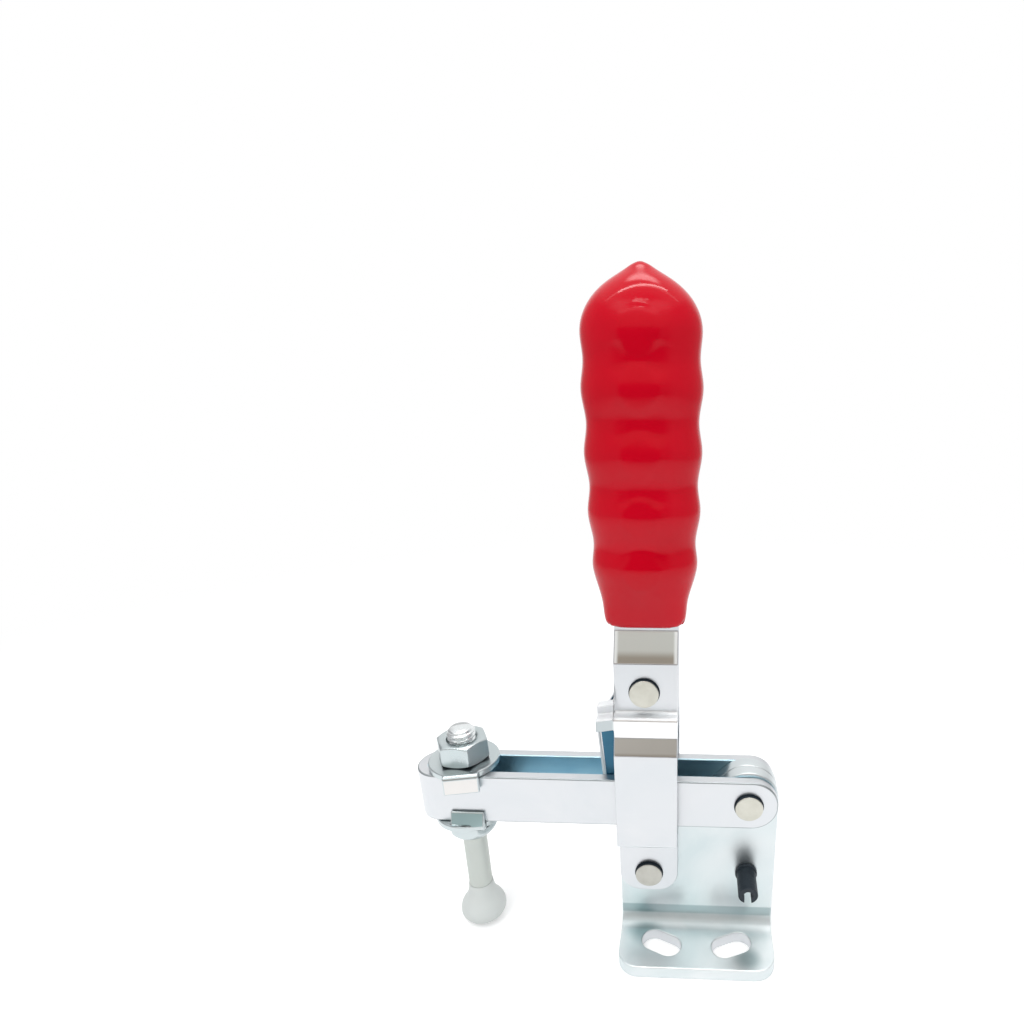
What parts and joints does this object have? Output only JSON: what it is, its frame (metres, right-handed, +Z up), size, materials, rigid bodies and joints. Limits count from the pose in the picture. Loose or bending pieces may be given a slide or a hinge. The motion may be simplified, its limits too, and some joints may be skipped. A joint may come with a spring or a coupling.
{
  "type": "toggle clamp",
  "caption": "Upright hold-down clamp: a hand lever works a folding arm over a toggle link, and the arm's rubber-tipped spindle presses down on a workpiece.",
  "frame": {"origin": "middle of the base's underside, between the two brackets and in the middle of the four slots", "axes": "+X from the spindle towards the rear pivot, +Y away from the viewer across the clamp, +Z up; the clamp is closed and locked"},
  "size_m": [0.0793, 0.0324, 0.1409],
  "materials": {
    "zinc_plate": "bright zinc plate on pressed sheet steel",
    "zinc_bolt": "bright zinc plate on threaded steel",
    "rivet_steel": "plain warm-toned steel, flat heads",
    "black_steel": "black oxide spring steel",
    "red_vinyl": "glossy dipped vinyl",
    "white_rubber": "off-white rubber"
  },
  "bodies": {
    "base": {"base_front_bracket": "zinc_plate", "base_rear_bracket": "zinc_plate", "arm_pivot_rivet": "rivet_steel", "handle_pivot_rivet": "rivet_steel", "handle_stop_pin": "black_steel"},
    "handle": {"handle_front_plate": "zinc_plate", "handle_rear_plate": "zinc_plate", "link_upper_rivet": "rivet_steel", "grip_lower_rivet": "rivet_steel", "grip_upper_rivet": "rivet_steel", "handle_grip": "red_vinyl"},
    "arm": {"clamp_arm": "zinc_plate", "link_lower_rivet_front": "rivet_steel", "link_lower_rivet_rear": "rivet_steel"},
    "link": {"inner_link": "zinc_plate"},
    "spindle_holder": {"spindle_upper_nut": "zinc_bolt", "spindle_lower_nut": "zinc_bolt", "upper_flanged_washer": "zinc_plate", "lower_flanged_washer": "zinc_plate"},
    "spindle": {"spindle_bolt": "zinc_bolt", "spindle_cap": "white_rubber"}
  },
  "joints": [
    {"name": "handle_pivot", "type": "hinge", "parent": "base", "child": "handle", "pos_m": [-0.01075, 0, 0.0192], "axis": [0, 1, 0], "range_deg": [0, 65]},
    {"name": "arm_pivot", "type": "hinge", "parent": "base", "child": "arm", "pos_m": [0.01075, 0, 0.0377], "axis": [0, 1, 0], "range_deg": [0, 93]},
    {"name": "link_pivot", "type": "hinge", "parent": "handle", "child": "link", "pos_m": [-0.0111, 0, 0.0643], "axis": [0, 1, 0], "range_deg": [0, 75.3]},
    {"name": "spindle_slide", "type": "slide", "parent": "arm", "child": "spindle_holder", "axis": [1, 0, 0], "range_m": [-0.0045, 0.018]},
    {"name": "spindle_height", "type": "slide", "parent": "spindle_holder", "child": "spindle", "axis": [0, 0, 1], "range_m": [0, 0.012]}
  ],
  "couplings": [
    {"joint": "arm_pivot", "follows": "handle_pivot", "ratio": 1.4308},
    {"joint": "link_pivot", "follows": "handle_pivot", "ratio": 1.1585}
  ]
}
